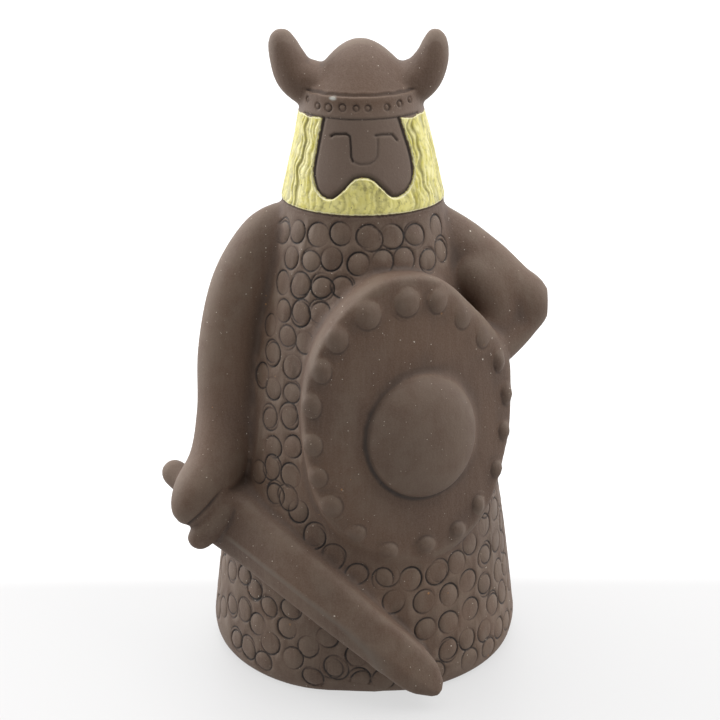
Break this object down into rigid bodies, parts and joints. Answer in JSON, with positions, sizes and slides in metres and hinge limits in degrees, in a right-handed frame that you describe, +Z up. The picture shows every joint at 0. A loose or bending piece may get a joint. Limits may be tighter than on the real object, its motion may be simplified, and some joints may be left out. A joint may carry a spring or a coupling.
{
  "type": "viking figurine",
  "caption": "Standing clay warrior figure on a round cone body, with a horned helmet, a round studded shield and a long sword pointing down.",
  "frame": {"origin": "centre of the flat underside, on the surface that the figure stands on", "axes": "+Z up through the head; -Y is the side the face, shield and sword look to; +X is the right of somebody facing the figure"},
  "size_m": [0.1223, 0.1087, 0.2],
  "materials": {
    "dark_clay": "matt unglazed dark brown fired clay, with pale yellow glaze brushed on the hair and beard"
  },
  "bodies": {
    "root": {"viking_figure": "dark_clay"}
  },
  "joints": []
}
